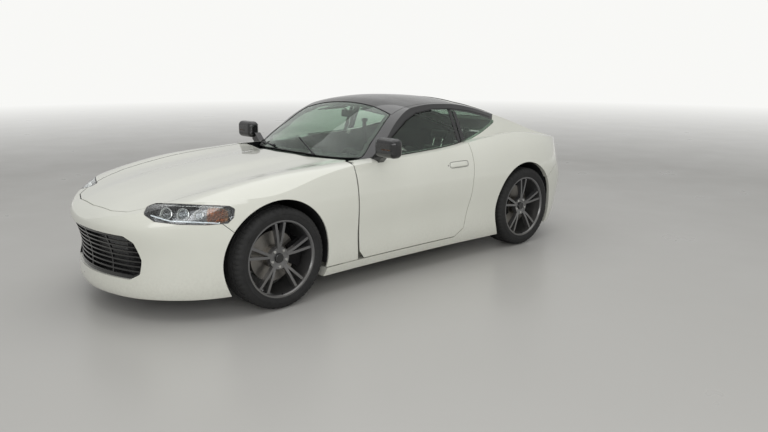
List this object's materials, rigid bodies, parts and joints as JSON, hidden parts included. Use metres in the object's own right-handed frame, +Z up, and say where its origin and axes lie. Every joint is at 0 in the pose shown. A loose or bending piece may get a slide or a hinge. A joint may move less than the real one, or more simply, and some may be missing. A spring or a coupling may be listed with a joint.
{
  "type": "sports coupe",
  "caption": "Low two-seat coupe with a long bonnet, fastback roof, opening doors, bonnet and rear hatch, turning steering and rolling wheels.",
  "frame": {"origin": "on the ground, in the middle of the car's length and width", "axes": "+X to the car's left side, -Y to its nose, +Z up"},
  "size_m": [2.086, 4.3802, 1.316],
  "materials": {
    "body_white": "gloss paint over clear coat",
    "roof_black": "gloss paint",
    "trim_black": "grained plastic",
    "gloss_black": "gloss plastic",
    "under_steel": "matt primer",
    "glass_clear": "tinted glass",
    "lamp_front": "clear polycarbonate",
    "lamp_rear": "red polycarbonate",
    "tyre": "rubber",
    "rim_grey": "gunmetal paint",
    "disc_iron": "machined",
    "arm_iron": "painted casting",
    "steel_pipe": "brushed",
    "engine_alloy": "cast",
    "dash_plastic": "soft grained plastic",
    "seat_leather": "stitched leather"
  },
  "bodies": {
    "shell": {"floor": "under_steel", "front_structure": "under_steel", "rear_structure": "under_steel", "body_side_left": "body_white", "body_side_right": "body_white", "fender_left": "body_white", "fender_right": "body_white", "front_bumper": "body_white", "grille": "gloss_black", "headlamps": "lamp_front", "rear_bumper": "body_white", "tail_panel": "gloss_black", "tail_lamps": "lamp_rear", "roof_panel": "roof_black", "roof_rail_left": "roof_black", "roof_rail_right": "roof_black", "cowl": "trim_black", "windscreen": "glass_clear", "quarter_windows": "glass_clear", "wipers": "trim_black", "dashboard": "dash_plastic", "console": "dash_plastic", "seat_driver": "seat_leather", "seat_passenger": "seat_leather", "engine": "engine_alloy", "radiator": "engine_alloy", "exhaust": "steel_pipe", "front_suspension": "arm_iron", "rear_suspension": "arm_iron", "rear_uprights": "arm_iron"},
    "door_assembly_left": {"door_left": "body_white", "door_glass_left": "glass_clear", "mirror_left": "gloss_black"},
    "door_assembly_right": {"door_right": "body_white", "door_glass_right": "glass_clear", "mirror_right": "gloss_black"},
    "bonnet_lid": {"bonnet": "body_white"},
    "tailgate": {"hatch": "body_white", "rear_glass": "glass_clear"},
    "steering_wheel_turning": {"steering_wheel": "seat_leather"},
    "knuckle_left": {"upright_front_left": "arm_iron"},
    "knuckle_right": {"upright_front_right": "arm_iron"},
    "wheel_front_left": {"tyre_front_left": "tyre", "rim_front_left": "rim_grey", "brake_disc_front_left": "disc_iron"},
    "wheel_front_right": {"tyre_front_right": "tyre", "rim_front_right": "rim_grey", "brake_disc_front_right": "disc_iron"},
    "wheel_rear_left": {"tyre_rear_left": "tyre", "rim_rear_left": "rim_grey", "brake_disc_rear_left": "disc_iron"},
    "wheel_rear_right": {"tyre_rear_right": "tyre", "rim_rear_right": "rim_grey", "brake_disc_rear_right": "disc_iron"}
  },
  "joints": [
    {"name": "steer_left", "type": "hinge", "parent": "shell", "child": "knuckle_left", "pos_m": [0.725, -1.235, 0.343], "axis": [0, 0, 1], "range_deg": [-33, 33]},
    {"name": "steer_right", "type": "hinge", "parent": "shell", "child": "knuckle_right", "pos_m": [-0.725, -1.235, 0.343], "axis": [0, 0, 1], "range_deg": [-33, 33]},
    {"name": "steering_column", "type": "hinge", "parent": "shell", "child": "steering_wheel_turning", "pos_m": [0.37, -0.15, 0.76], "axis": [0, 0.9207, 0.3903], "range_deg": [-470, 470]},
    {"name": "door_hinge_left", "type": "hinge", "parent": "shell", "child": "door_assembly_left", "pos_m": [0.8602, -0.482, 0.56], "axis": [0, 0, -1], "range_deg": [0, 62]},
    {"name": "door_hinge_right", "type": "hinge", "parent": "shell", "child": "door_assembly_right", "pos_m": [-0.8602, -0.482, 0.56], "axis": [0, 0, 1], "range_deg": [0, 62]},
    {"name": "bonnet_hinge", "type": "hinge", "parent": "shell", "child": "bonnet_lid", "pos_m": [0, -0.552, 0.88145], "axis": [-1, 0, 0], "range_deg": [0, 50]},
    {"name": "tailgate_hinge", "type": "hinge", "parent": "shell", "child": "tailgate", "pos_m": [0, 0.783, 1.25264], "axis": [1, 0, 0], "range_deg": [0, 60]},
    {"name": "spin_front_left", "type": "hinge", "parent": "knuckle_left", "child": "wheel_front_left", "pos_m": [0.785, -1.235, 0.343], "axis": [1, 0, 0], "continuous": true},
    {"name": "spin_front_right", "type": "hinge", "parent": "knuckle_right", "child": "wheel_front_right", "pos_m": [-0.785, -1.235, 0.343], "axis": [1, 0, 0], "continuous": true},
    {"name": "spin_rear_left", "type": "hinge", "parent": "shell", "child": "wheel_rear_left", "pos_m": [0.785, 1.315, 0.343], "axis": [1, 0, 0], "continuous": true},
    {"name": "spin_rear_right", "type": "hinge", "parent": "shell", "child": "wheel_rear_right", "pos_m": [-0.785, 1.315, 0.343], "axis": [1, 0, 0], "continuous": true}
  ],
  "couplings": [
    {"joint": "steer_right", "follows": "steer_left", "ratio": 1},
    {"joint": "steering_column", "follows": "steer_left", "ratio": 14}
  ]
}
